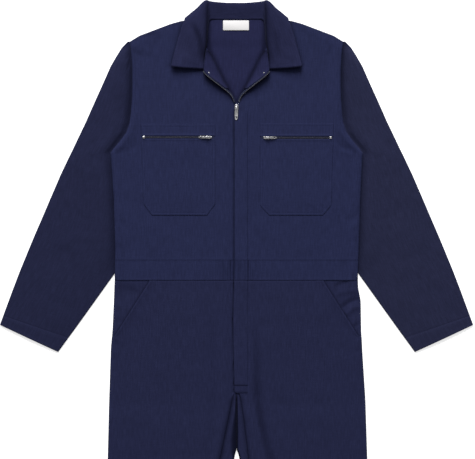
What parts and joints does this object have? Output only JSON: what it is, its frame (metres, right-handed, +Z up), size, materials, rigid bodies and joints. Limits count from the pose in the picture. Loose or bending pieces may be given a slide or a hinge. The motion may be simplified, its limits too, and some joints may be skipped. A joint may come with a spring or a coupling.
{
  "type": "boiler suit",
  "caption": "Long-sleeved zip-front boiler suit laid flat on its back: open collar, turned-out lapels, zipped chest pockets, waistband, slanted side pockets and straight legs.",
  "frame": {"origin": "middle of the suit's footprint, on the surface that it lies on", "axes": "+Z up, out of the front of the suit; +Y towards the collar; +X towards the wearer's left sleeve"},
  "size_m": [1.0142, 1.5859, 0.0139],
  "materials": {
    "cloth": "matt navy polycotton twill",
    "zip_tape": "dark navy woven zip tape with dark teeth",
    "zip_metal": "satin silver metal",
    "label": "plain white satin label"
  },
  "bodies": {
    "suit": {"back": "cloth", "waistband_back": "cloth", "trouser_back_right": "cloth", "trouser_back_left": "cloth", "sleeve_right": "cloth", "sleeve_left": "cloth", "front_right": "cloth", "front_left": "cloth", "waistband_front_right": "cloth", "waistband_front_left": "cloth", "pocket_facing_right": "cloth", "pocket_facing_left": "cloth", "trouser_front_right": "cloth", "trouser_front_left": "cloth", "lapel_right": "cloth", "lapel_left": "cloth", "collar": "cloth", "pocket_top_right": "cloth", "pocket_top_left": "cloth", "pocket_right": "cloth", "pocket_left": "cloth", "zip_closed": "zip_tape", "pocket_zip_right": "zip_tape", "pocket_zip_left": "zip_tape", "zip_open_right": "zip_metal", "zip_open_left": "zip_metal", "zip_stop_right": "zip_metal", "zip_stop_left": "zip_metal", "pocket_stop_right": "zip_metal", "pocket_stop_left": "zip_metal", "slider_main": "zip_metal", "slider_pocket_right": "zip_metal", "slider_pocket_left": "zip_metal", "neck_label": "label"},
    "pull_main": {"pull_main": "zip_metal"},
    "pull_pocket_right": {"pull_pocket_right": "zip_metal"},
    "pull_pocket_left": {"pull_pocket_left": "zip_metal"}
  },
  "joints": [
    {"name": "pull_main_tilt", "type": "hinge", "parent": "suit", "child": "pull_main", "pos_m": [-0.00004, 0.5635, 0.0114], "axis": [-0.9997, 0.0262, 0], "range_deg": [0, 150]},
    {"name": "pull_pocket_right_tilt", "type": "hinge", "parent": "suit", "child": "pull_pocket_right", "pos_m": [-0.0605, 0.5005, 0.0117], "axis": [0, 1, 0], "range_deg": [0, 150]},
    {"name": "pull_pocket_left_tilt", "type": "hinge", "parent": "suit", "child": "pull_pocket_left", "pos_m": [0.0655, 0.4995, 0.0117], "axis": [0, -1, 0], "range_deg": [0, 150]}
  ]
}
